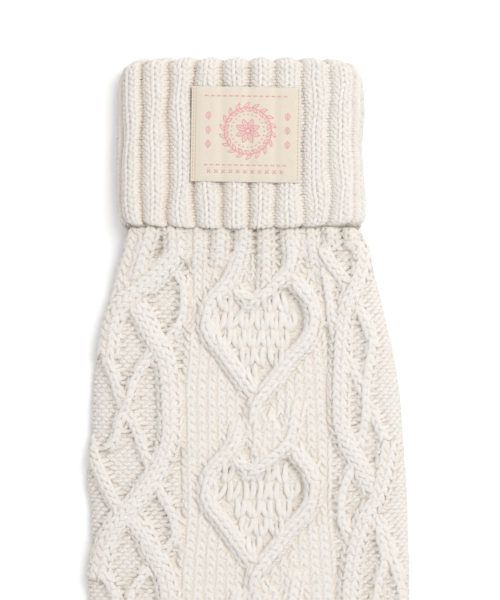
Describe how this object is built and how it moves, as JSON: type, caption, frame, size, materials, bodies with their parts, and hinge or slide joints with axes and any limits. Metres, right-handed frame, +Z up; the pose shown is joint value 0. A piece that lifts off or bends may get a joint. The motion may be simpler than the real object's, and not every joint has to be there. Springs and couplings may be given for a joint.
{
  "type": "cable-knit leg warmer with turned-down ribbed cuff, laid flat",
  "caption": "Flattened chunky knit tube with heart and braid cables, a folded ribbed cuff with a woven label, and a ribbed hem, lying on its flat back.",
  "frame": {"origin": "middle of the bounding box in X and Y, on the surface that it lies on", "axes": "+Y along the leg towards the turned-down cuff, +Z up through the front, +X to the right as seen from above"},
  "size_m": [0.162, 0.42, 0.0191],
  "materials": {
    "knit": "soft matt wool-look yarn in off-white, cable knit",
    "rib_knit": "soft matt wool-look yarn in off-white, two by two rib",
    "label": "cream satin weave with a fine slanting rib"
  },
  "bodies": {
    "root": {"cabled_tube": "knit", "turned_cuff": "rib_knit", "ribbed_hem": "rib_knit", "woven_label": "label"}
  },
  "joints": []
}
